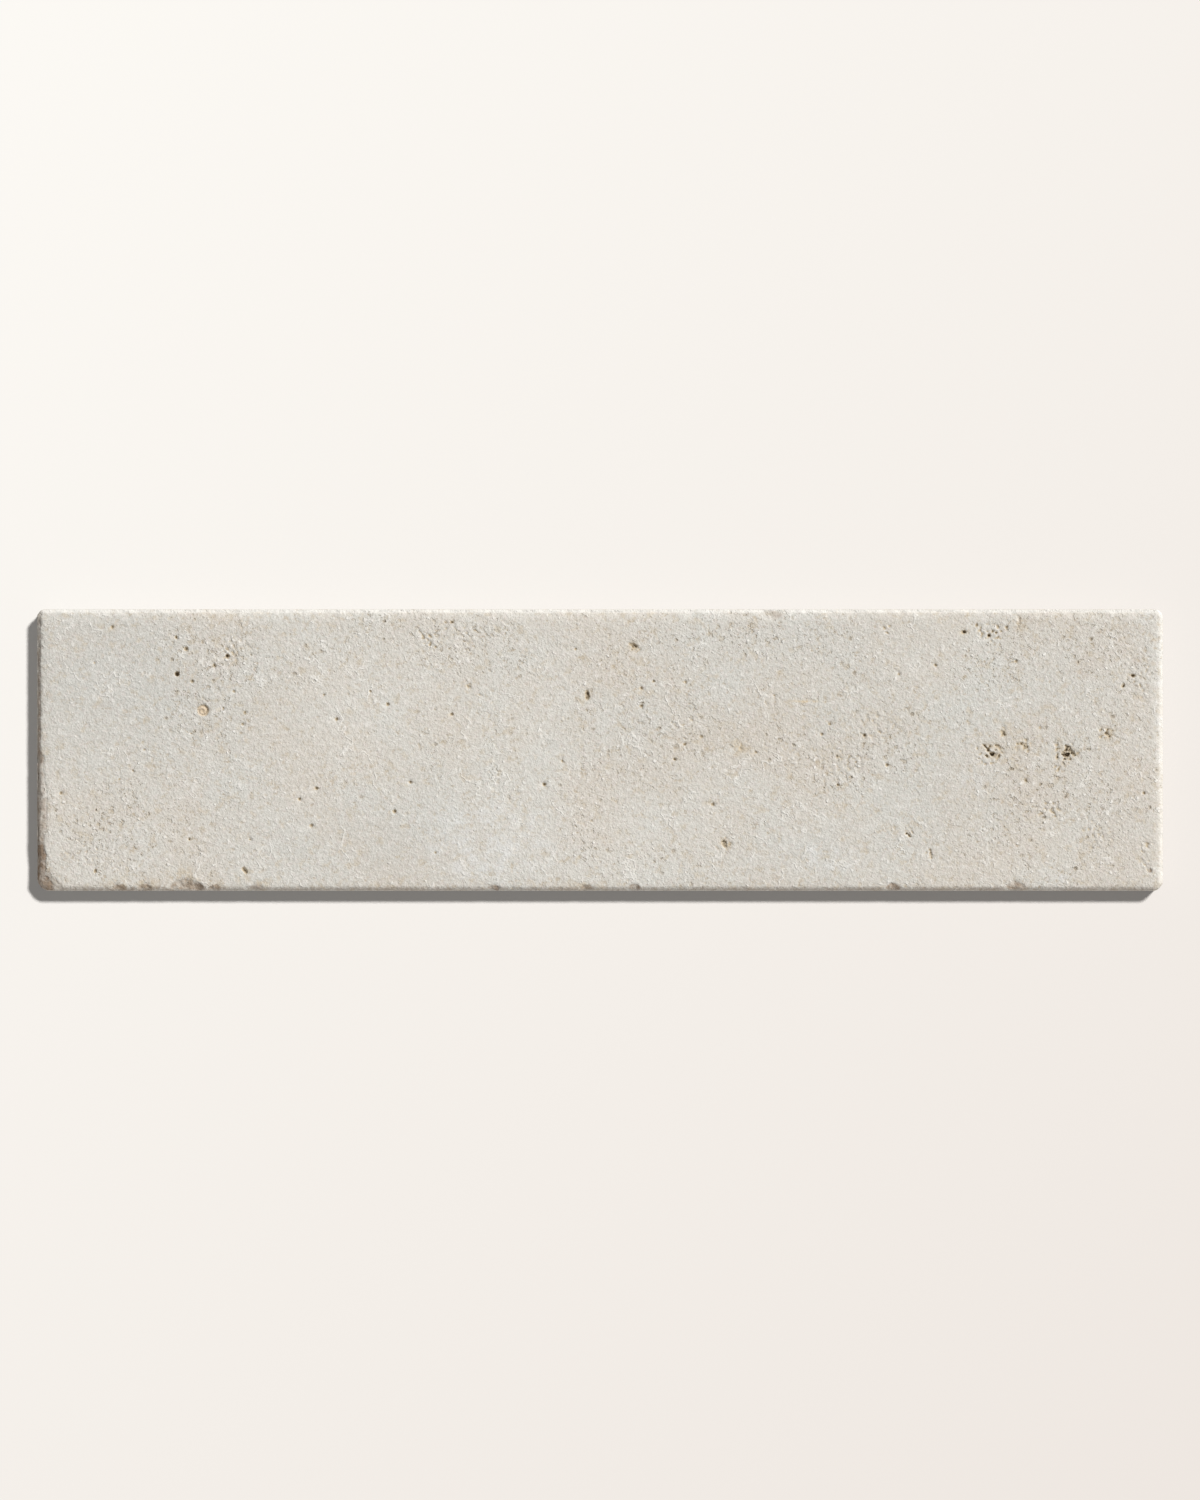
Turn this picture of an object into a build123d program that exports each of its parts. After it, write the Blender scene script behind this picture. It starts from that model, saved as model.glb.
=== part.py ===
"""Tumbled limestone tile: one sawn slab of soft, pitted limestone.

The saw leaves a flat slab. The tumbling drum then wears its arrises and corners round and knocks
shallow chips off them, and natural pits stay open in the show face.

Units are millimetres. The tile lies on its bed face with the show face up: X runs along its
length, Y across its width, and the origin is the middle of the bed face.
"""

import os
from collections import namedtuple
from math import hypot, trunc

from build123d import *

# The sawn slab
tile_length = 304.8
tile_width = 76.2
tile_thickness = 10.0

# Radii worn by tumbling: round the show face, round the bed face, and each corner in plan
face_arris = 1.5
bed_arris = 1.1
front_left_corner = 3.2
front_right_corner = 2.6
back_right_corner = 2.2
back_left_corner = 1.9

# A worn arris keeps inside the tightest corner and inside the slab's thickness
arris_share_of_corner = 0.95
arris_share_of_thickness = 0.45

# A pit's bowl from just above its mouth to its floor: drop as a share of the pit's depth, and
# width as a share of the mouth
pit_bowl = [(-0.15, 1.05), (0.55, 0.84), (1.00, 0.40)]

# Chips struck off the show face's arris, each a scoop of one ball. A place is a share of the half
# length and half width, so 1 is the sharp sawn edge. A scoop is `width` long on that edge, goes
# `reach` onto the show face and `drop` down the side.
Chip = namedtuple("Chip", "along across width reach drop")
chips = [
    Chip(-1.000, -1.000, 13.0, 4.6, 2.60),
    Chip(-1.000, -0.800, 17.0, 2.6, 1.90),
    Chip(-1.000, -0.400, 34.0, 3.0, 1.20),
    Chip(-1.000, -0.065, 4.6, 2.0, 1.25),
    Chip(-0.855, -1.000, 4.8, 2.0, 1.10),
    Chip(-0.809, -1.000, 5.2, 2.1, 1.15),
    Chip(-0.740, -1.000, 9.6, 3.8, 1.20),
    Chip(-0.718, -1.000, 5.4, 2.3, 1.35),
    Chip(-0.686, -1.000, 4.2, 1.9, 1.05),
    Chip(-0.614, -1.000, 6.6, 1.8, 1.30),
    Chip(-0.190, -1.000, 4.4, 1.7, 1.25),
    Chip(-0.025, -1.000, 5.2, 1.6, 1.35),
    Chip(0.059, -1.000, 4.8, 1.9, 1.20),
    Chip(0.519, -1.000, 5.0, 2.2, 1.15),
    Chip(0.737, -1.000, 6.4, 2.9, 1.00),
    Chip(0.308, 1.000, 8.0, 3.4, 0.80),
]

# Open pits of the show face. Places are shares as above, sizes are of the mouth, and each is
# turned about Z from the length of the tile.
Pit = namedtuple("Pit", "along across length breadth depth turn")
pits = [
    Pit(-0.751, 0.538, 1.6, 1.5, 0.90, 0),
    Pit(-0.705, 0.279, 3.1, 2.8, 0.60, 20),
    Pit(-0.631, -0.854, 2.5, 1.3, 0.70, -60),
    Pit(-0.023, 0.394, 2.9, 1.3, 0.80, -82),
    Pit(0.061, 0.733, 2.3, 1.6, 0.75, -40),
    Pit(0.221, -0.677, 2.6, 1.2, 0.60, -58),
    Pit(0.587, -0.748, 2.7, 0.9, 0.50, -85),
    Pit(0.645, 0.838, 1.5, 1.2, 0.70, 30),
    Pit(0.683, 0.027, 2.0, 0.9, 0.55, -45),
    Pit(0.696, -0.030, 2.3, 1.2, 0.70, -45),
    Pit(0.706, 0.030, 1.4, 1.0, 0.55, 0),
    Pit(0.716, 0.114, 2.5, 1.0, 0.50, -80),
    Pit(0.753, 0.026, 2.3, 1.1, 0.60, -60),
    Pit(0.745, 0.929, 2.6, 1.0, 0.55, -80),
    Pit(0.811, 0.036, 1.4, 0.9, 0.55, -30),
    Pit(0.825, -0.040, 2.9, 1.2, 0.80, -45),
    Pit(0.836, -0.010, 3.2, 1.1, 0.80, -52),
    Pit(0.928, 0.457, 1.8, 1.5, 0.55, 25),
    Pit(0.946, 0.531, 1.5, 1.2, 0.65, 0),
    Pit(0.974, -0.857, 1.4, 1.1, 0.60, -20),
]


def chip_ball(chip):
    """Centre and radius of the ball that scoops out the chip."""
    half_chord = chip.width / 2
    out = (half_chord**2 - chip.reach**2) / (2 * chip.reach)
    up = (half_chord**2 - chip.drop**2) / (2 * chip.drop)
    outward = Vector(trunc(chip.along), trunc(chip.across), 0).normalized()
    edge = Vector(chip.along * half_length, chip.across * half_width, tile_thickness)
    return edge + outward * out + Vector(0, 0, up), hypot(out, up, half_chord)


def pit_hollow(pit):
    """Bowl with rounded ends that narrows from its mouth at the origin to its floor."""
    with BuildPart() as hollow:
        for drop, share in pit_bowl:
            with BuildSketch(Plane.XY.offset(-drop * pit.depth)):
                SlotOverall(share * pit.length, share * pit.breadth)
        loft(ruled=True)
    return hollow.part


half_length = tile_length / 2
half_width = tile_width / 2
corner_radii = {
    (-half_length, -half_width): front_left_corner,
    (half_length, -half_width): front_right_corner,
    (half_length, half_width): back_right_corner,
    (-half_length, half_width): back_left_corner,
}
largest_arris = min(
    arris_share_of_corner * min(corner_radii.values()),
    arris_share_of_thickness * tile_thickness,
)
hollows = [pit_hollow(pit) for pit in pits]

with BuildPart() as tile:
    # Sawn slab with its corners knocked round
    with BuildSketch(Plane.XY) as outline:
        Rectangle(tile_length, tile_width)
        for corner, radius in corner_radii.items():
            fillet(outline.vertices().sort_by_distance(corner)[0], radius)
    extrude(amount=tile_thickness)

    # Arrises worn by tumbling
    fillet(tile.faces().sort_by(Axis.Z)[-1].edges(), min(face_arris, largest_arris))
    fillet(tile.faces().sort_by(Axis.Z)[0].edges(), min(bed_arris, largest_arris))

    # Chips struck off the show face's arris
    for chip in chips:
        centre, radius = chip_ball(chip)
        with Locations(centre):
            Sphere(radius, mode=Mode.SUBTRACT)

    # Natural pits open in the show face
    for pit, hollow in zip(pits, hollows):
        mouth = (pit.along * half_length, pit.across * half_width, tile_thickness)
        with Locations(Location(mouth, (0, 0, pit.turn))):
            add(hollow, mode=Mode.SUBTRACT)

tile.part.label = "limestone_tile"
os.makedirs("parts", exist_ok=True)
export_step(tile.part, "parts/limestone_tile.step")
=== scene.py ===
import math
from functools import partial

import bmesh
import bpy
import numpy as np
from mathutils import Euler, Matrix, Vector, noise


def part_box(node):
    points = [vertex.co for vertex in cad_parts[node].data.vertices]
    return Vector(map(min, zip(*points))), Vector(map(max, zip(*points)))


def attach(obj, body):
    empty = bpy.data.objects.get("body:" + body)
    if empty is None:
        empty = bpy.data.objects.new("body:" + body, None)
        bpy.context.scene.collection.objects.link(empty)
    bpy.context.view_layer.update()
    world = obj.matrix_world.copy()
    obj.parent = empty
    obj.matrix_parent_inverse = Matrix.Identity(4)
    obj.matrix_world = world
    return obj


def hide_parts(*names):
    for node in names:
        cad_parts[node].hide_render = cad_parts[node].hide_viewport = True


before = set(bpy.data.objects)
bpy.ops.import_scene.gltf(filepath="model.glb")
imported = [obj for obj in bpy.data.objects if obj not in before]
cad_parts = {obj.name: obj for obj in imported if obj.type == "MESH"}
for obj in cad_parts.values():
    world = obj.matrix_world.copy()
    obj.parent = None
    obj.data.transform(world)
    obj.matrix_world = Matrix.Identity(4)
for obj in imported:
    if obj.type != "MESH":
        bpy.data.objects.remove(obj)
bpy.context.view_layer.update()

# The tile: one slab of soft pale limestone, sawn flat and then tumbled in a drum until its arrises
# and corners are worn round and chipped. The sawn, chipped and pitted solid is cut into fine facets
# here, and takes the ragged wear of the drum and the small pores and crumbled spots of the stone.
mm = 0.001
half_length, half_width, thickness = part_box("limestone_tile")[1]
face_arris, bed_arris = 1.5 * mm, 1.1 * mm
corner_radii = {(-1, -1): 3.2 * mm, (1, -1): 2.6 * mm, (1, 1): 2.2 * mm, (-1, 1): 1.9 * mm}
fine_facet, quick_facet = 0.32 * mm, 0.6 * mm
weld_reach = 0.001 * mm

slab = bmesh.new()
slab.from_mesh(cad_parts["limestone_tile"].data)
bmesh.ops.remove_doubles(slab, verts=slab.verts, dist=weld_reach)
stone_mesh = bpy.data.meshes.new("tumbled_limestone")
slab.to_mesh(stone_mesh)
slab.free()
tile = bpy.data.objects.new("tumbled_limestone", stone_mesh)
bpy.context.scene.collection.objects.link(tile)


def settle(piece):
    """Makes a piece's modifiers part of its mesh."""
    now = bpy.context.evaluated_depsgraph_get()
    shaped = bpy.data.meshes.new_from_object(piece.evaluated_get(now))
    piece.modifiers.clear()
    piece.data = shaped
    return shaped


facets = tile.modifiers.new("fine facets", "REMESH")
facets.mode = "VOXEL"
facets.voxel_size = fine_facet
stone_mesh = settle(tile)

# x, y and z are views of the points' places, so a change to one of them moves the points
place = np.empty((len(stone_mesh.vertices), 3))
facing = np.empty_like(place)
stone_mesh.vertices.foreach_get("co", place.ravel())
stone_mesh.vertices.foreach_get("normal", facing.ravel())
x, y, z = place.T

# How far each point lies in from the outline, and how much stone the chips and pits took off over it
corner = np.empty(len(place))
for (side_x, side_y), radius in corner_radii.items():
    corner[(x * side_x >= 0) & (y * side_y >= 0)] = radius


def depth_in(past_one, past_other, radius):
    """Depth below a corner of this radius, from how far a point is past the round's start each way."""
    flat = np.minimum(np.maximum(past_one, past_other), 0)
    return radius - flat - np.hypot(np.maximum(past_one, 0), np.maximum(past_other, 0))


def share(value, none, full):
    """How far a value has come on its way from `none` to `full`, from 0 to 1."""
    return np.clip((value - none) / (full - none), 0, 1)


inset = depth_in(np.abs(x) - half_length + corner, np.abs(y) - half_width + corner, corner)
show = z > thickness / 2
arris = np.where(show, face_arris, bed_arris)
lost = depth_in(arris - inset, np.abs(z - thickness / 2) - thickness / 2 + arris, arris)
chip_reach, least_chip, full_chip = 4.2 * mm, 0.12 * mm, 0.42 * mm
sunk = np.where(show & (inset > chip_reach), lost, 0)
chipped = np.where(show & (inset <= chip_reach), share(lost, least_chip, full_chip), 0)

# The bed of the stone lies askew, so that no noise lines up with the tile's faces
bed_tilt = (0.5, 0.8, 0.3)
bed_turn = np.array(Euler(bed_tilt).to_matrix())


def lumps(points, *layers):
    """Noise at each point, from layers that each have the breadth and the height of their lumps."""
    heights = np.zeros(len(points))
    for breadth, height in layers:
        spots = points @ bed_turn / breadth
        heights += height * np.array([noise.noise(spot) for spot in spots.tolist()])
    return heights


# Mouths of pits and borders of chips are ragged: the show face slides a little sideways, but its
# outline stays
still_border, sliding_border = 0.6 * mm, 1.8 * mm
slide_lumps, lumps_apart = (1.5 * mm, 0.32 * mm), 100 * mm
sliding = np.nonzero(show & (inset > still_border))[0]
loose = share(inset[sliding], still_border, sliding_border)
slide_x = loose * lumps(place[sliding], slide_lumps)
slide_y = loose * lumps(place[sliding] + lumps_apart, slide_lumps)
x[sliding] += slide_x
y[sliding] += slide_y


def sink(points, depth):
    """Lowers some points of the show face, and keeps count of how deep they lie."""
    z[points] -= depth
    sunk[points] += depth


# Rubble fills the pits in part, and the one wide pit at the left still holds the rings of a shell
least_pit = 0.02 * mm
even_rubble, most_rubble, rubble_lumps = 0.25, 0.8, (0.75 * mm, 0.7)
shell_x, shell_y, shell_radius = -107.5 * mm, 10.6 * mm, 1.05 * mm
shell_fill, ring_rise, ring_pitch, round_shell_fill = 0.55, 0.25, 0.75 * mm, 0.1
shell_far = np.hypot(x - shell_x, y - shell_y)
in_pit = np.nonzero(sunk > least_pit)[0]
far = shell_far[in_pit]
pit_fill = np.clip(even_rubble - lumps(place[in_pit], rubble_lumps), 0, most_rubble)
rings = shell_fill + ring_rise * np.cos(2 * np.pi * far / ring_pitch)
pit_fill = np.where(far < 2 * shell_radius, round_shell_fill, pit_fill)
pit_fill = np.where(far < shell_radius, rings, pit_fill)
sink(in_pit, -pit_fill * sunk[in_pit])

# A groove runs round the shell, deepest at its back right
groove_radius, groove_breadth, groove_depth = 1.45 * mm, 0.28 * mm, 0.42 * mm
groove_way, groove_evenness = math.radians(45), 0.45
near = np.nonzero(show & (shell_far < 2 * groove_radius))[0]
off_groove = (shell_far[near] - groove_radius) / groove_breadth
groove_turn = np.arctan2(y[near] - shell_y, x[near] - shell_x) - groove_way
groove = np.exp(-(off_groove**2)) * (groove_evenness + (1 - groove_evenness) * np.cos(groove_turn))
sink(near, groove_depth * np.clip(groove, 0, 1))

# Crumbs fill the chips in part, the big one the least and those along the left end nearly whole.
# Chips at the left end and along the back show less brown.
big_chip_x, big_chip_reach, big_chip_fill = -112.5 * mm, 6 * mm, 0.20
small_chip_fill, least_fill, most_fill, fill_lumps = 0.60, 0.05, 0.85, (1.2 * mm, 0.5)
left_end, left_fill, left_change, faint_brown = 5 * mm, 0.75, 0.2, 0.5
in_chip = np.nonzero(chipped > 0)[0]
even_fill = np.where(np.abs(x[in_chip] - big_chip_x) < big_chip_reach, big_chip_fill, small_chip_fill)
chip_fill = np.clip(even_fill - lumps(place[in_chip], fill_lumps), least_fill, most_fill)
at_left = x[in_chip] < left_end - half_length
chip_fill[at_left] = left_fill + left_change * chip_fill[at_left]
z[in_chip] += chip_fill * lost[in_chip]
chipped[in_chip[at_left | (y[in_chip] > 0)]] *= faint_brown

# The front left corner is rubbed off by two flats: one across the corner and one that tapers out up
# the left end. Each has its depth at the corner and its reach along the front and up the left end.
flats = [(1.5 * mm, 8.8 * mm, 9.6 * mm), (0.8 * mm, 3.5 * mm, 40 * mm)]
flat_border, flat_lumps = 0.3 * mm, ((1.4 * mm, 0.14 * mm), (0.7 * mm, 0.08 * mm))
flat_cut, full_bevel = 0.95, 0.12 * mm
rubbed_off = np.max(
    [
        depth * (1 - (half_length + x) / along_front - (half_width + y) / up_left)
        for depth, along_front, up_left in flats
    ],
    axis=0,
)
by_flat = np.nonzero(show & (rubbed_off > -flat_border))[0]
flat_top = thickness - rubbed_off[by_flat] + lumps(place[by_flat], *flat_lumps)
over = np.clip(z[by_flat] - flat_top, 0, None)
z[by_flat] -= flat_cut * over
bevelled = np.zeros(len(place))
bevelled[by_flat] = share(over, 0, full_bevel)


def far_from(spot_x, spot_y, reach_x, reach_y):
    """How far each point is from a spot of the face, in shares of a reach each way, given in millimetres."""
    return np.hypot((x / mm - spot_x) / reach_x, (y / mm - spot_y) / reach_y)


# Crumbled spots, each as place from the tile's middle, reach each way and depth, in millimetres
crumbled_spots = [
    (105.4, -0.9, 4.4, 3.8, 1.0), (109.0, 4.0, 1.6, 3.2, 0.5), (114.5, 1.0, 3.2, 2.8, 0.7),
    (126.0, -0.9, 4.2, 3.4, 1.1), (137.1, 4.5, 2.8, 2.4, 0.9), (123.9, -4.9, 1.8, 1.6, 0.5),
    (9.3, 27.9, 2.4, 2.0, 0.7), (-3.5, 15.1, 1.6, 2.4, 0.5), (33.7, -25.8, 2.2, 2.6, 0.9),
    (121.7, -16.3, 4.0, 3.0, 0.8), (83.4, -22.5, 1.6, 2.6, 0.8), (106.0, 32.0, 5.0, 3.4, 0.7),
    (113.6, 35.0, 1.4, 2.6, 0.5), (37.8, 1.3, 3.0, 3.0, 0.4), (146.0, 20.0, 4.5, 9.0, 0.35),
    (-99.0, 27.0, 7.0, 5.0, 0.35), (148.0, -28.0, 3.0, 7.0, 0.4), (75.0, 6.0, 8.0, 6.0, 0.3),
    (-42.0, 34.0, 6.0, 2.5, 0.35), (23.0, 8.0, 6.0, 5.0, 0.3), (-35.0, 31.0, 8.0, 5.0, 0.3),
    (66.0, -4.0, 8.0, 7.0, 0.3), (-138.0, -28.0, 9.0, 6.0, 0.25), (134.0, -22.0, 9.0, 8.0, 0.25),
    (77.7, 32.4, 2.2, 3.0, 0.45), (-46.5, 30.0, 4.5, 3.5, 0.5), (-26.5, 32.8, 3.0, 3.0, 0.45),
    (89.2, -28.4, 1.4, 2.4, 0.8), (-35.5, 17.2, 1.0, 1.4, 0.5), (-33.2, 14.3, 1.6, 1.2, 0.5),
    (-29.8, 8.6, 0.9, 1.6, 0.5), (-28.2, 6.2, 0.9, 1.6, 0.5), (-14.8, 3.2, 0.8, 2.0, 0.5),
]
hole_lumps = ((0.9 * mm, 1.0), (0.5 * mm, 0.6))
least_hole, full_hole = 0.05, 0.65
for spot_x, spot_y, reach_x, reach_y, depth in crumbled_spots:
    far = far_from(spot_x, spot_y, reach_x, reach_y)
    near = np.nonzero(show & (far < 1))[0]
    holes = share(lumps(place[near], *hole_lumps), least_hole, full_hole) * (1 - far[near] ** 2)
    sink(near, depth * mm * holes)

# Small single pores of the show face, as place from the tile's middle and breadth, in millimetres
pores = [
    (-100.8, 25.4, 1.1), (-104.4, 22.9, 0.9), (-112.0, 27.3, 1.0), (-114.7, 30.5, 0.9),
    (-110.3, 18.6, 0.8), (-99.0, 15.9, 0.8), (-101.9, 11.3, 0.7), (-96.0, 10.2, 0.8),
    (-96.8, 7.0, 0.8), (-110.6, 4.5, 0.7), (-132.0, 33.2, 0.8), (-136.6, -32.8, 0.9),
    (-145.8, -11.7, 0.9), (-130.1, -7.9, 0.7), (-81.3, -13.3, 0.9), (-78.1, -20.4, 0.9),
    (-76.7, -10.4, 0.9), (-111.1, -24.2, 0.8), (-71.3, 8.3, 0.9), (-57.5, 12.4, 0.9),
    (-62.1, 15.9, 0.7), (-40.2, 9.7, 0.9), (-51.3, -8.7, 0.8), (-55.6, -16.6, 0.9),
    (-15.0, -9.3, 1.0), (-10.2, -3.0, 0.7), (-44.5, 27.8, 0.7), (-44.5, -27.7, 0.7),
    (-40.2, 34.6, 0.8), (-6.6, 27.3, 0.7), (14.5, 18.6, 0.8), (11.2, 16.7, 0.9),
    (11.2, 11.9, 0.9), (23.1, 18.4, 0.7), (20.2, -2.5, 0.9), (22.9, 1.6, 0.9),
    (42.1, -0.6, 0.7), (30.5, -14.7, 0.9), (60.0, 4.3, 0.8), (27.5, 3.6, 0.8),
    (62.1, 7.0, 0.8), (71.6, 4.0, 0.9), (69.2, -3.3, 0.7), (77.6, -4.1, 0.9),
    (64.3, -9.5, 0.8), (47.2, 14.8, 0.7), (112.5, 24.0, 0.8), (101.9, 33.8, 0.9),
    (105.2, 31.1, 0.8), (136.9, 4.5, 0.9), (110.0, 33.2, 0.8), (90.8, 22.9, 0.8),
    (115.1, -8.2, 0.9), (124.1, -5.2, 0.8), (-114.5, 20.5, 1.1), (144.2, 20.0, 0.9),
    (141.6, 17.2, 0.6), (80.8, 20.5, 0.7), (119.0, 6.0, 0.7), (147.2, -11.7, 0.8),
    (98.6, 32.0, 0.8), (-74.7, 14.9, 0.7), (-136.8, 23.6, 0.6), (-94.7, -24.2, 0.6),
    (-126.4, -5.5, 0.6), (-123.3, 0.1, 0.6), (126.4, -1.2, 1.2),
]
pore_reach, pore_depth = 0.58, 0.65
pore_border, pore_lumps = 1.5, (0.6 * mm, 0.35)
for pore_x, pore_y, breadth in pores:
    far = far_from(pore_x, pore_y, pore_reach * breadth, pore_reach * breadth)
    near = np.nonzero(show & (far < pore_border))[0]
    ragged_far = far[near] * (1 + lumps(place[near], pore_lumps))
    bowl = np.sqrt(np.clip(1 - ragged_far**2, 0, 1))
    sink(near, pore_depth * breadth * mm * bowl)

# Wear of the drum: the show face falls away toward its edges, most at the back
sides = {"left": half_length + x, "right": half_length - x, "front": half_width + y, "back": half_width - y}
edge_falls = {"left": 0.35 * mm, "right": 0.50 * mm, "front": 0.0, "back": 1.15 * mm}
edge_roughness = {"left": 0.7, "right": 0.35, "front": 0.28, "back": 0.5}
fall_reach, least_fall = 4.6 * mm, 0.001 * mm
fall_lumps = ((7 * mm, 0.6), (2.3 * mm, 0.6))
fall = np.zeros(len(place))
raggedness = np.zeros(len(place))
nearest = np.min(list(sides.values()), axis=0)
for name, edge_distance in sides.items():
    fall = np.maximum(fall, edge_falls[name] * share(edge_distance, fall_reach, 0) ** 3)
    raggedness[edge_distance == nearest] = edge_roughness[name]
upright = np.clip(facing[:, 2], 0, 1)
falling = np.nonzero(show & (fall > least_fall))[0]
wander = 1 + lumps(place[falling], *fall_lumps)
z[falling] -= fall[falling] * wander * upright[falling] ** 2

# The arrises lose stone in bites, most at the left, and the chips are crumbly
full_slant, least_wear = 0.15, 0.02
bite_lumps = ((5 * mm, 0.25 * mm), (2.2 * mm, 0.20 * mm), (1.0 * mm, 0.08 * mm))
crumb_lumps = ((1.3 * mm, 0.10 * mm), (0.7 * mm, 0.08 * mm))
worn = share(1 - np.abs(facing).max(axis=1), 0, full_slant)
worn[inset > chip_reach] = 0
wearing = np.nonzero(np.maximum(worn, chipped) > least_wear)[0]
deepest_bite = sum(depth for breadth, depth in bite_lumps)
bites = (deepest_bite + lumps(place[wearing], *bite_lumps)) / 2
bites *= worn[wearing] * raggedness[wearing]
crumbs = lumps(place[wearing], *crumb_lumps)
place[wearing] -= facing[wearing] * (bites + chipped[wearing] * crumbs)[:, None]

# Nicks lie along the border of the show face
nick_reach, nick_depth, nick_lumps = 3.0 * mm, 0.30 * mm, (1.5 * mm, 1.0)
least_nick, full_nick, nicked_slant = 0.2, 0.6, 0.5
by_edge = np.nonzero(show & (inset < nick_reach))[0]
nicks = nick_depth * share(lumps(place[by_edge], nick_lumps), least_nick, full_nick)
nicks *= raggedness[by_edge] * (1 - inset[by_edge] / nick_reach) * share(upright[by_edge], 0, nicked_slant)
place[by_edge] -= facing[by_edge] * nicks[:, None]
np.clip(place, (-half_length, -half_width, 0), (half_length, half_width, thickness), out=place)
stone_mesh.vertices.foreach_set("co", place.ravel())

# Soft oval spots, each as place from the tile's middle, reach each way in millimetres and strength:
# tan stains round the larger hollows, clouds in the bed of the stone, rough and smooth zones, white
# scuffs, a painted highlight along the lit right edge, and soil along the front arris
stains = [
    (106.3, -0.4, 5.0, 4.0, 1.0), (114.5, 1.0, 4.0, 3.5, 1.0), (126.0, -0.8, 4.5, 3.8, 1.0),
    (137.2, 4.4, 4.0, 3.0, 1.0), (109.0, 4.3, 2.0, 3.0, 1.0), (9.1, 28.1, 2.6, 2.4, 1.0),
    (-3.4, 15.0, 1.8, 2.6, 1.0), (-107.5, 10.6, 2.6, 2.6, 0.6), (33.7, -25.6, 2.4, 2.8, 1.0),
    (125.0, 3.0, 3.0, 3.0, 1.0), (37.0, 0.2, 5.0, 3.5, 1.0), (-112.5, -34.0, 5.5, 4.0, 1.0),
    (-132.5, 33.4, 2.4, 2.0, 1.0), (113.5, 34.0, 3.0, 3.5, 1.0), (98.5, 32.0, 2.2, 2.2, 1.0),
    (-130.0, -36.0, 5.0, 2.6, 1.0), (-122.5, -36.3, 6.0, 2.6, 1.0), (-104.0, -36.0, 3.0, 2.2, 1.0),
    (-96.8, -34.5, 3.0, 3.0, 0.8), (-92.0, -36.3, 4.0, 2.2, 1.0), (-3.0, -36.8, 9.0, 2.2, 0.9),
]
cool_clouds = [
    (-130, 15, 30, 35, 1.0), (-50, -21, 34, 16, 0.8), (80, -28, 24, 14, 0.5), (100, 10, 20, 16, 0.3),
    (-84, 4, 28, 22, 0.5),
]
warm_clouds = [
    (-136, -24, 18, 18, 0.5), (48, 2, 34, 18, 0.9), (125, -14, 34, 22, 0.5), (110, 30, 40, 12, 0.4),
    (20, -5, 30, 20, 0.4), (2, -23, 22, 14, 0.6),
]
dark_clouds = [
    (-138, 20, 46, 40, 1.3), (-95, 12, 26, 24, 0.5), (-57, -28, 34, 18, 0.7), (62, 4, 34, 20, 0.3),
    (100, -6, 40, 20, 0.25), (58, -28, 26, 14, 0.4),
]
pale_clouds = [
    (-57, 12, 30, 28, 0.5), (-22, 4, 34, 40, 0.45), (12, -26, 34, 16, 0.45), (112, 28, 44, 14, 0.25),
    (142, 4, 20, 30, 0.4),
]
rough_zones = [
    (-105, 20, 24, 20, 1.0), (-39, 29, 24, 14, 0.8), (14, 4, 28, 26, 0.45), (2, -26, 20, 14, 0.6),
    (63, 1, 28, 22, 0.55), (124, 27, 40, 20, 0.75), (128, -12, 38, 32, 0.6), (-134, -22, 28, 24, 0.8),
    (38, 31, 40, 9, 0.8),
]
smooth_zones = [
    (-135, 14, 26, 30, 1.0), (-50, -25, 46, 16, 1.0), (66, -27, 26, 14, 0.8), (-66, 4, 26, 22, 0.5),
]
# white scuffs on the face; the last two spots, along the right edge, are a painted highlight where it faces
# the light
white_scuffs_and_edge_highlight = [
    (-31, -25, 28, 17, 1.0), (100, -8, 10, 8, 0.7), (124, -34, 7, 5, 0.8), (62, -29, 16, 6, 0.8),
    (150, 36, 5, 6, 1.0), (152, 10, 3, 30, 0.8),
]
soil_spots = [(-122, -38, 38, 3.0, 2.6), (0, -38, 40, 1.6, 1.6)]


def spread(spots):
    """Strength at each point of some soft oval spots."""
    strength = np.zeros(len(place))
    for spot_x, spot_y, reach_x, reach_y, weight in spots:
        strength = np.maximum(strength, weight * share(far_from(spot_x, spot_y, reach_x, reach_y), 1, 0))
    return strength


# Marks that the stone's colours follow. Arrises that face the back right, toward the raking light, get a
# painted highlight in white, and those that face the left get painted shade in brown, most toward the front.
full_hollow, bevel_brown = 0.9 * mm, 0.62
highlight_way, shade_way, shade_slant = (0.45, 1.0, 0.0), (-1.5, -0.3, 0.0), 0.5
speckled_reach = 4 * mm
along_edge = share(np.minimum(sides["left"], sides["front"]), speckled_reach, 0)
marks = {
    "hollow": share(sunk, 0, full_hollow),
    "chipped": np.maximum(chipped, bevel_brown * bevelled),
    # painted highlight, white on the arrises that face the raking light
    "painted_highlight": worn * np.clip(facing @ highlight_way, 0, 1),
    # painted shade, brown on the arrises that face away from the raking light, most toward the front
    "painted_shade": worn * np.clip(facing @ shade_way, 0, 1) * (1 - shade_slant * y / half_width),
    "speckled": np.where(show, np.maximum(along_edge, spread(soil_spots)), 0),
    "stained": spread(stains),
    "warmth": spread(warm_clouds) - spread(cool_clouds),
    "paleness": spread(pale_clouds) - spread(dark_clouds),
    "roughened": spread(rough_zones) - spread(smooth_zones),
    "scuffed_and_highlit": np.where(show, spread(white_scuffs_and_edge_highlight), 0),
}
for name, values in marks.items():
    stone_mesh.attributes.new(name, "FLOAT", "POINT").data.foreach_set("value", values)

# Flat stone keeps few facets and worn stone many. The facets are still four-sided here, so each
# counts for two triangles.
most_triangles = 190000
thinning = tile.modifiers.new("thinning", "DECIMATE")
thinning.ratio = min(1.0, most_triangles / (2 * len(stone_mesh.polygons)))
thinning.use_collapse_triangulate = True
stone_mesh = settle(tile)
stone_mesh.shade_smooth()


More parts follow.
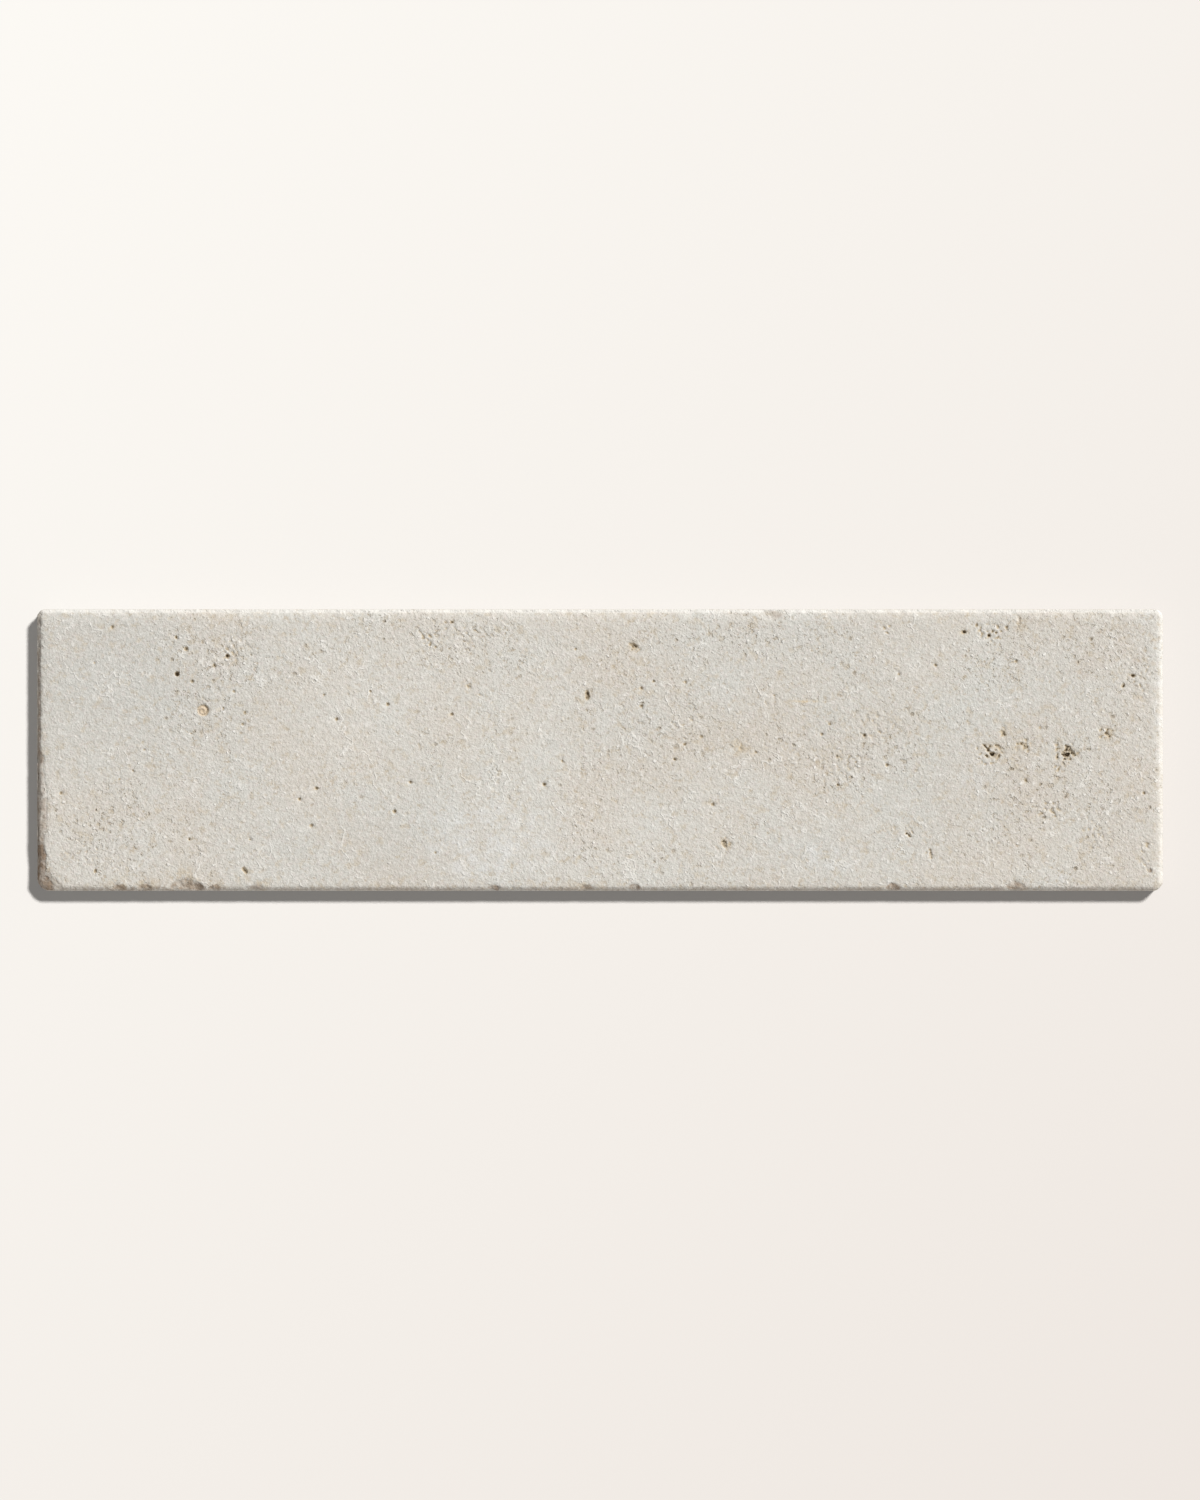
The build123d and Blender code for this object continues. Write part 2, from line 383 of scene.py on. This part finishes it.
def new_finish(name):
    """Makes a material with an empty board for its nodes."""
    made = bpy.data.materials.new(name)
    made.use_nodes = True
    made.node_tree.nodes.clear()
    return made, made.node_tree.nodes, made.node_tree.links


def step(kind, settings=None, **sockets):
    """Adds a node to the finish at hand, sets its settings and fills its sockets with values or other
    nodes' outputs. A socket is given by its name, or as i and its number."""
    made = nodes.new(kind)
    for key, value in (settings or {}).items():
        setattr(made, key, value)
    for key, value in sockets.items():
        by_number = key[0] == "i" and key[1:].isdigit()
        socket = made.inputs[int(key[1:]) if by_number else key.replace("_", " ")]
        if isinstance(value, bpy.types.NodeSocket):
            links.new(value, socket)
        else:
            socket.default_value = value
    return made


def worked(how, first, *others):
    """Works other values into the first one, one after the other."""
    for other in others:
        first = step("ShaderNodeMath", {"operation": how}, i0=first, i1=other).outputs[0]
    return first


plus = partial(worked, "ADD")
minus = partial(worked, "SUBTRACT")
times = partial(worked, "MULTIPLY")


def between(value, low, high, least=0.0, most=1.0):
    """Eases a value that goes from `low` to `high` into one that goes from `least` to `most`."""
    ease = {"interpolation_type": "SMOOTHSTEP"}
    return step("ShaderNodeMapRange", ease, i0=value, i1=low, i2=high, i3=least, i4=most).outputs[0]


def tint(under, over, strength, *where):
    """Lays a colour over another at some strength, where the given patterns let it."""
    kind = {"data_type": "RGBA"}
    return step("ShaderNodeMix", kind, i0=times(strength, *where), i6=under, i7=over).outputs[2]


def srgb(red, green, blue):
    """A colour as it shows on a screen, turned into the linear one that a material takes."""
    return tuple(((c / 255 + 0.055) / 1.055) ** 2.4 for c in (red, green, blue)) + (1,)


# Its stone is pale grey to beige, with a salt and pepper grain, pin pores and tan lining in its hollows
limestone, nodes, links = new_finish("limestone")
cool_grey = srgb(211, 210, 203)
warm_beige = srgb(209, 201, 189)
pale_bed = srgb(242, 239, 231)
dim_bed = srgb(180, 177, 170)
rosy_grain = srgb(217, 203, 198)
white_grain = srgb(244, 241, 235)
tan_grain = srgb(167, 158, 142)
grey_grain = srgb(165, 159, 149)
rusty_fleck = srgb(180, 163, 137)
tan_lining = srgb(194, 178, 151)
shell_tan = srgb(222, 200, 172)
ochre = srgb(224, 198, 150)
pore_brown = srgb(108, 91, 68)
chip_tan = srgb(164, 146, 127)
# brown of the painted shade on the arrises that face away from the light
painted_shade_brown = srgb(146, 124, 105)
# white of the scuffs and of the painted highlight along the right edge
scuff_and_highlight_white = srgb(232, 234, 235)
tile_spot = step("ShaderNodeTexCoord").outputs["Object"]
stone_spot = step("ShaderNodeMapping", Vector=tile_spot, Rotation=bed_tilt).outputs[0]


def speckle(size, detail=2.0, roughness=0.5, spot=stone_spot):
    """Soft noise whose blotches are about `size` across."""
    made = step("ShaderNodeTexNoise", Vector=spot, Scale=1 / size, Detail=detail, Roughness=roughness)
    return made.outputs["Fac"]


def mark(name):
    """One of the marks laid on the mesh."""
    return step("ShaderNodeAttribute", {"attribute_name": name}).outputs["Fac"]


# Bed of the stone, and the zones where it is rougher
bed = plus(speckle(24 * mm, detail=7, roughness=0.70), times(mark("warmth"), 0.16))
colour = tint(cool_grey, warm_beige, 1.0, between(bed, 0.25, 0.77))
pale = plus(times(speckle(50 * mm, detail=4), 0.5), times(mark("paleness"), 0.30))
colour = tint(colour, pale_bed, 0.17, between(pale, 0.20, 0.55))
colour = tint(colour, dim_bed, 0.28, between(pale, 0.30, -0.05))
rosy = speckle(1.0 * mm, detail=3, roughness=0.6)
colour = tint(colour, rosy_grain, 0.4, between(rosy, 0.45, 0.75))
rough = plus(times(speckle(14 * mm, detail=3), 0.5), times(mark("roughened"), 0.22))
rough = between(rough, 0.12, 0.48)

# Salt and pepper grain, and flecks that are thicker where the stone is rough
fine = speckle(0.70 * mm, detail=2, roughness=0.6)
finer = speckle(0.38 * mm, detail=1)
flecks = speckle(1.7 * mm, detail=3, roughness=0.7)
blotches = speckle(2.6 * mm, detail=3, roughness=0.7)
thick_flecks = between(rough, 0, 1, least=0.75)
colour = tint(colour, white_grain, 0.24, between(fine, 0.46, 0.80))
colour = tint(colour, tan_grain, 0.24, between(fine, 0.54, 0.20))
colour = tint(colour, white_grain, 0.15, between(finer, 0.46, 0.84))
colour = tint(colour, grey_grain, 0.15, between(finer, 0.54, 0.16))
colour = tint(colour, white_grain, 0.45, between(flecks, 0.56, 0.70), thick_flecks)
colour = tint(colour, rusty_fleck, 0.68, between(flecks, 0.43, 0.28), thick_flecks)
colour = tint(colour, tan_lining, 0.42, between(blotches, 0.48, 0.30))

# Faint lines that the saw left along the tile, where the face is still smooth
line_turn, line_stretch = (0, 0, 0.09), (7, 1, 1)
along = {"vector_type": "TEXTURE"}
line_spot = step("ShaderNodeMapping", along, Vector=tile_spot, Rotation=line_turn, Scale=line_stretch)
saw_lines = speckle(1.1 * mm, detail=3, roughness=0.6, spot=line_spot.outputs[0])
smooth = between(rough, 0.6, 0.0)
colour = tint(colour, white_grain, 0.17, between(saw_lines, 0.50, 0.72), smooth)
colour = tint(colour, dim_bed, 0.13, between(saw_lines, 0.50, 0.28), smooth)

# Thin white wisps, where old cracks healed, run along the middle value of a slow noise
wisp_course = speckle(17 * mm, detail=4, roughness=0.6)
broken = between(speckle(9 * mm, detail=2), 0.50, 0.62)
wisps = times(between(wisp_course, 0.486, 0.5), between(wisp_course, 0.514, 0.5), broken)
colour = tint(colour, white_grain, 0.42, wisps)

# Pitting of the rough zones, white crumbs and pin pores, which a fine noise shakes out of round
pitting = between(speckle(1.5 * mm, detail=3, roughness=0.65), 0.42, 0.32)
pitting = times(pitting, between(rough, 0, 1, least=0.05))
shake_size, shake_reach = 0.8 * mm, (0.9 * mm, 0.9 * mm, 0.9 * mm)
shake = step("ShaderNodeTexNoise", Vector=stone_spot, Scale=1 / shake_size, Detail=1.0).outputs["Color"]
shaken = step("ShaderNodeVectorMath", {"operation": "MULTIPLY_ADD"}, i0=shake, i1=shake_reach, i2=stone_spot)


def dots(spacing, none, widest, on_smooth, rim=0.06):
    """Dots about `spacing` apart, with none in a share `none` of their places. The widest one and the soft
    rim are shares of the spacing, and `on_smooth` is what is left of the dots on smooth stone."""
    inner_rim, chance_step = 0.10, 0.1
    near = {"feature": "F1"}
    cells = step("ShaderNodeTexVoronoi", near, Vector=shaken.outputs[0], Scale=1 / spacing, Randomness=1.0)
    chance = step("ShaderNodeSeparateColor", Color=cells.outputs["Color"]).outputs[0]
    past_dot = minus(cells.outputs["Distance"], between(chance, none, 1.0, most=widest))
    there = between(chance, none - chance_step, none + chance_step)
    return times(between(past_dot, rim, -inner_rim), there, between(rough, 0, 1, least=on_smooth))


pin_pore = dots(2.4 * mm, none=0.72, widest=0.22, on_smooth=0.12)
pin_halo = dots(2.4 * mm, none=0.72, widest=0.22, on_smooth=0.12, rim=0.22)
tiny_pore = dots(1.3 * mm, none=0.55, widest=0.26, on_smooth=0.05)
white_crumb = dots(1.6 * mm, none=0.55, widest=0.28, on_smooth=0.5)
colour = tint(colour, white_grain, 0.65, white_crumb)
colour = tint(colour, rusty_fleck, 0.55, pitting)
colour = tint(colour, tan_grain, 0.6, tiny_pore)
colour = tint(colour, tan_lining, 0.5, pin_halo)
colour = tint(colour, pore_brown, 0.55, pin_pore)

# Scuffs and a painted highlight along the right edge, painted light and shade on the arrises, stains, chips
# and hollows
blotch = between(speckle(2.0 * mm, detail=3, roughness=0.65), 0.40, 0.62)
grit = between(speckle(1.1 * mm, detail=2, roughness=0.6), 0.46, 0.62)
streaks = between(speckle(3.5 * mm, detail=5, roughness=0.75), 0.46, 0.62)
uneven = between(blotch, 0, 1, least=0.5)
hollow = mark("hollow")
# White scuffs, and a painted highlight along the right edge
colour = tint(colour, scuff_and_highlight_white, 0.32, between(mark("scuffed_and_highlit"), 0, 0.7), streaks)
# Painted highlight: the arrises that face the raking light are whitened
colour = tint(colour, white_grain, 0.8, mark("painted_highlight"))
colour = tint(colour, chip_tan, 0.28, mark("speckled"), grit)
# Painted shade: the arrises that face away from the raking light are browned, most toward the front
colour = tint(colour, painted_shade_brown, 0.8, mark("painted_shade"), uneven)
colour = tint(colour, tan_lining, 0.6, between(mark("stained"), 0, 0.8), blotch)
colour = tint(colour, chip_tan, 0.8, mark("chipped"), uneven)
colour = tint(colour, tan_lining, 0.85, between(hollow, 0.06, 0.35))
colour = tint(colour, pore_brown, 0.85, between(hollow, 0.32, 0.85))


def from_spot(spot_x, spot_y, reach_x, reach_y, reach_down=3 * mm):
    """Way from a spot of the show face, in shares of its reach each way, and the length of that way."""
    shares = (1 / reach_x, 1 / reach_y, 1 / reach_down)
    middle = (-spot_x / reach_x, -spot_y / reach_y, -thickness / reach_down)
    way = step("ShaderNodeMapping", Vector=tile_spot, Scale=shares, Location=middle).outputs[0]
    return way, step("ShaderNodeVectorMath", {"operation": "LENGTH"}, i0=way).outputs["Value"]


# The shell's coil, and one streak of ochre
coil_reach, coil_tightness = 1.7 * mm, 11.0
coil_way, coil_far = from_spot(shell_x, shell_y, coil_reach, coil_reach)
across = step("ShaderNodeSeparateXYZ", Vector=coil_way).outputs
coil_turn = worked("ARCTAN2", across["Y"], across["X"])
coil = minus(times(coil_far, coil_tightness), coil_turn)
coil = step("ShaderNodeMath", {"operation": "SINE"}, i0=coil).outputs[0]
colour = tint(colour, shell_tan, 0.6, between(coil_far, 1.0, 0.7))
colour = tint(colour, pore_brown, 0.38, between(coil_far, 0.9, 0.8), between(coil, 0, 1))
streak_x, streak_y, streak_length, streak_breadth = 56 * mm, 13.2 * mm, 7 * mm, 0.7 * mm
streak_far = from_spot(streak_x, streak_y, streak_length, streak_breadth)[1]
colour = tint(colour, ochre, 0.6, between(streak_far, 1, 0), blotch)

# Grain that can be felt, each kind as a share of the grain's depth
grain_depth = 0.28 * mm
raised = plus(
    times(fine, between(rough, 0, 1, least=0.70, most=0.84)),
    times(finer, 0.22),
    flecks,
    times(wisps, 0.3),
    times(white_crumb, 0.5),
)
relief = minus(raised, times(pin_pore, 0.8), times(tiny_pore, 0.35), times(pitting, 0.55))
grain = step("ShaderNodeBump", Height=relief, Distance=grain_depth, Strength=1.0)
surface = step(
    "ShaderNodeBsdfPrincipled",
    Base_Color=colour,
    Roughness=0.9,
    Specular_IOR_Level=0.25,
    Normal=grain.outputs[0],
)
step("ShaderNodeOutputMaterial", Surface=surface.outputs[0])
stone_mesh.materials.clear()
stone_mesh.materials.append(limestone)
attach(tile, "root")
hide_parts("limestone_tile")

# The floor: a plain pale sheet of paper that the tile lies on, with painted light that makes it a little
# brighter toward the back left.
# It lies a hair below the bed face, so that the two don't show through each other, and it is clear
# from below, so that the tile's underside can be seen.
floor_reach, floor_drop = 5, 0.05 * mm
shaded_front_right_paper, lit_back_left_paper, shade_reach = srgb(238, 231, 225), srgb(252, 249, 244), 0.36
# The paper's glow is painted light, which brightens the floor and its shadow alike
paper_glow, paper_dimness = 0.18, 0.15
floor_mesh = bpy.data.meshes.new("floor")
sheet = bmesh.new()
bmesh.ops.create_grid(sheet, x_segments=1, y_segments=1, size=floor_reach)
bmesh.ops.translate(sheet, verts=sheet.verts, vec=(0, 0, -floor_drop))
sheet.to_mesh(floor_mesh)
sheet.free()
floor = bpy.data.objects.new("floor", floor_mesh)
bpy.context.scene.collection.objects.link(floor)


def dimmed(paper_colour):
    """The paper's colour as the light meets it, which is dim because the paper also glows."""
    return tuple(paper_dimness * part for part in paper_colour)


paper, nodes, links = new_finish("pale paper")
floor_spot = step("ShaderNodeSeparateXYZ", Vector=step("ShaderNodeTexCoord").outputs["Object"]).outputs
# painted light, brighter toward the back left
to_back_left = minus(floor_spot["Y"], floor_spot["X"])
shade = step("ShaderNodeMapRange", i0=to_back_left, i1=-shade_reach, i2=shade_reach).outputs[0]
paper_surface = step(
    "ShaderNodeBsdfPrincipled",
    Base_Color=tint(dimmed(shaded_front_right_paper), dimmed(lit_back_left_paper), 1.0, shade),
    Roughness=1.0,
    Specular_IOR_Level=0.0,
    Emission_Color=tint(shaded_front_right_paper, lit_back_left_paper, 1.0, shade),
    Emission_Strength=paper_glow,
)
from_below = step("ShaderNodeNewGeometry").outputs["Backfacing"]
clear = step("ShaderNodeBsdfTransparent")
seen = step("ShaderNodeMixShader", i0=from_below, i1=paper_surface.outputs[0], i2=clear.outputs[0])
step("ShaderNodeOutputMaterial", Surface=seen.outputs[0])
floor_mesh.materials.append(paper)

# The light: a soft sky, a high light that throws the short shadow on the floor, a lower light from the
# back right that rakes the stone, and a weak one from the front that fills its front arris.
sky_colour, sky_strength = (1.0, 0.99, 0.975, 1), 0.25
sky = bpy.data.worlds.new("studio")
sky.use_nodes = True
sky.node_tree.nodes["Background"].inputs["Color"].default_value = sky_colour
sky.node_tree.nodes["Background"].inputs["Strength"].default_value = sky_strength
bpy.context.scene.world = sky


def lamp(name, lit, elevation, azimuth, strength, softness):
    """A far lamp that lights only one object. Its angles are in degrees, with the azimuth counted from the
    tile's length, anticlockwise, and its softness is the breadth that it has in the sky."""
    data = bpy.data.lights.new(name, "SUN")
    data.energy = strength
    data.angle = math.radians(softness)
    made = bpy.data.objects.new(name, data)
    made.rotation_euler = Euler((0, math.radians(90 - elevation), math.radians(azimuth)))
    bpy.context.scene.collection.objects.link(made)
    lit_by = bpy.data.collections.new(name + " lights")
    lit_by.objects.link(lit)
    made.light_linking.receiver_collection = lit_by


lamp("high light", floor, elevation=62, azimuth=45, strength=18.6, softness=6)
lamp("raking light", tile, elevation=38, azimuth=42, strength=3.53, softness=8)
lamp("front light", tile, elevation=30, azimuth=-65, strength=0.62, softness=20)

# The camera looks straight down on the tile from far off through a long lens, with the tile's length
# across the picture. Its height over the tile follows from the height of what the picture shows.
long_lens, picture_height = 200, 406.1 * mm
camera_data = bpy.data.cameras.new("camera")
camera_data.lens = long_lens
camera_rise = picture_height * camera_data.lens / camera_data.sensor_width
camera = bpy.data.objects.new("camera", camera_data)
camera.location = (0, 0, thickness - face_arris + camera_rise)
bpy.context.scene.collection.objects.link(camera)
bpy.context.scene.camera = camera
bpy.context.scene.view_settings.view_transform = "Standard"
